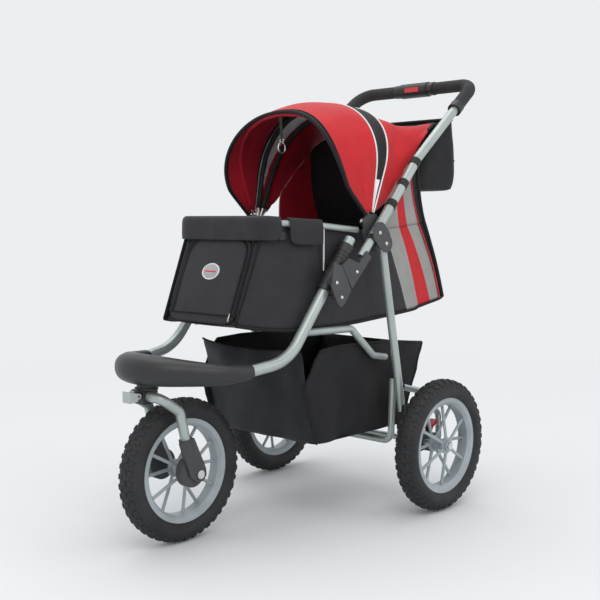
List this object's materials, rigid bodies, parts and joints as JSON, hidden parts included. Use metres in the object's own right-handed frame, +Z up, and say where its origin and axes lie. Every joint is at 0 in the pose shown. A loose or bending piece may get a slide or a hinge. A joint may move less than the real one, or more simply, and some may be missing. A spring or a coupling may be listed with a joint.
{
  "type": "pet stroller",
  "caption": "Folding pet stroller with a zipped fabric cabin, ribbed canopy, under-basket, rear bag, swivelling front wheel, braked rear wheels and a bent push handle.",
  "frame": {"origin": "middle of the footprint, on the ground the wheels stand on", "axes": "+Z up, the stroller faces -Y, +X is its left side"},
  "size_m": [0.602, 0.9894, 1.028],
  "materials": {
    "frame_tube": "satin silver-green paint",
    "steel": "plated steel",
    "moulding": "black moulded nylon",
    "dark_plate": "dark grey moulded nylon",
    "grey_plastic": "light grey moulding",
    "black_cloth": "woven polyester, coated inside",
    "red_cloth": "woven polyester, coated inside",
    "webbing": "woven strap",
    "foam": "closed-cell foam",
    "red_plastic": "red moulding",
    "rim": "grey moulded nylon",
    "tyre": "knobbly air tyre"
  },
  "bodies": {
    "frame": {"front_tube_left": "frame_tube", "front_tube_right": "frame_tube", "bumper": "moulding", "steering_head": "moulding", "latch_sleeves": "moulding", "latch_plates": "dark_plate", "latch_struts": "frame_tube", "hinge_plate_left": "dark_plate", "hinge_plate_right": "dark_plate", "side_bars": "frame_tube", "top_rail": "frame_tube", "rail_posts": "steel", "frame_rivets": "steel", "cabin_floor": "black_cloth", "cabin_mat": "black_cloth", "cabin_side_left": "black_cloth", "cabin_side_right": "black_cloth", "cabin_front": "black_cloth", "cabin_back": "black_cloth", "top_flaps": "black_cloth", "buckles": "moulding", "basket": "black_cloth", "rear_hood": "red_cloth", "roof_flap": "red_cloth", "rear_bow": "steel"},
    "handle": {"handle_tube": "frame_tube", "foam_grips": "foam", "handle_housing": "moulding", "rear_bag": "black_cloth", "bag_clamps": "moulding", "tube_straps": "webbing"},
    "release_button": {"fold_button": "red_plastic"},
    "rear_legs": {"leg_left": "frame_tube", "leg_right": "frame_tube", "axle_tube": "frame_tube", "rear_hoop": "frame_tube", "axle_bracket_left": "moulding", "axle_bracket_right": "moulding", "rear_axles": "steel"},
    "latch_collars": {"latch_sliders": "moulding"},
    "canopy_front": {"front_bow": "steel", "canopy_cover": "red_cloth", "leash_strap": "webbing", "leash_hook": "steel"},
    "canopy_middle": {"mid_bow": "steel"},
    "door": {"front_door": "black_cloth"},
    "brake_left": {"brake_pedal_left": "red_plastic"},
    "brake_right": {"brake_pedal_right": "red_plastic"},
    "rear_wheel_left": {"rear_rim_left": "rim", "rear_tyre_left": "tyre"},
    "rear_wheel_right": {"rear_rim_right": "rim", "rear_tyre_right": "tyre"},
    "fork": {"fork_tube": "frame_tube", "swivel_block": "moulding", "fork_brackets": "dark_plate", "front_axle": "steel"},
    "swivel_lock": {"lock_lever": "grey_plastic"},
    "front_wheel": {"front_rim": "rim", "front_tyre": "tyre"}
  },
  "joints": [
    {"name": "handle_fold", "type": "hinge", "parent": "frame", "child": "handle", "pos_m": [0, 0.05275, 0.6445], "axis": [1, 0, 0], "range_deg": [0, 120], "deforming": ["rear_bag", "rear_hood", "roof_flap", "basket"]},
    {"name": "rear_leg_fold", "type": "hinge", "parent": "frame", "child": "rear_legs", "pos_m": [0, 0.07575, 0.6205], "axis": [1, 0, 0], "range_deg": [-38, 0]},
    {"name": "latch_slide", "type": "slide", "parent": "frame", "child": "latch_collars", "axis": [0, 0.622, 0.783], "range_m": [0, 0.012], "stiffness_N_per_m": 300, "springref_m": -0.01},
    {"name": "release_press", "type": "slide", "parent": "handle", "child": "release_button", "axis": [0, 1, 0], "range_m": [0, 0.003], "stiffness_N_per_m": 400, "springref_m": -0.003},
    {"name": "canopy_fold", "type": "hinge", "parent": "frame", "child": "canopy_front", "pos_m": [0, 0.05975, 0.668], "axis": [-1, 0, 0], "range_deg": [0, 38], "deforming": ["canopy_cover"]},
    {"name": "canopy_middle_fold", "type": "hinge", "parent": "frame", "child": "canopy_middle", "pos_m": [0, 0.05975, 0.668], "axis": [-1, 0, 0], "range_deg": [0, 11]},
    {"name": "door_swing", "type": "hinge", "parent": "frame", "child": "door", "pos_m": [0, -0.28125, 0.4755], "axis": [1, 0, 0], "range_deg": [0, 95]},
    {"name": "brake_left_press", "type": "hinge", "parent": "rear_legs", "child": "brake_left", "pos_m": [0.205, 0.25775, 0.175], "axis": [1, 0, 0], "range_deg": [-18, 0]},
    {"name": "brake_right_press", "type": "hinge", "parent": "rear_legs", "child": "brake_right", "pos_m": [-0.205, 0.25775, 0.175], "axis": [1, 0, 0], "range_deg": [-18, 0]},
    {"name": "rear_wheel_left_spin", "type": "hinge", "parent": "rear_legs", "child": "rear_wheel_left", "pos_m": [0.271, 0.21175, 0.1525], "axis": [1, 0, 0], "continuous": true},
    {"name": "rear_wheel_right_spin", "type": "hinge", "parent": "rear_legs", "child": "rear_wheel_right", "pos_m": [-0.271, 0.21175, 0.1525], "axis": [1, 0, 0], "continuous": true},
    {"name": "fork_swivel", "type": "hinge", "parent": "frame", "child": "fork", "pos_m": [0, -0.42825, 0.32], "axis": [0, 0, 1], "continuous": true},
    {"name": "swivel_lock_turn", "type": "hinge", "parent": "fork", "child": "swivel_lock", "pos_m": [0, -0.45725, 0.324], "axis": [1, 0, 0], "range_deg": [0, 45]},
    {"name": "front_wheel_spin", "type": "hinge", "parent": "fork", "child": "front_wheel", "pos_m": [0, -0.34225, 0.1525], "axis": [1, 0, 0], "continuous": true}
  ],
  "couplings": [
    {"joint": "rear_leg_fold", "follows": "handle_fold", "ratio": -0.3166},
    {"joint": "canopy_middle_fold", "follows": "canopy_fold", "ratio": 0.27}
  ]
}
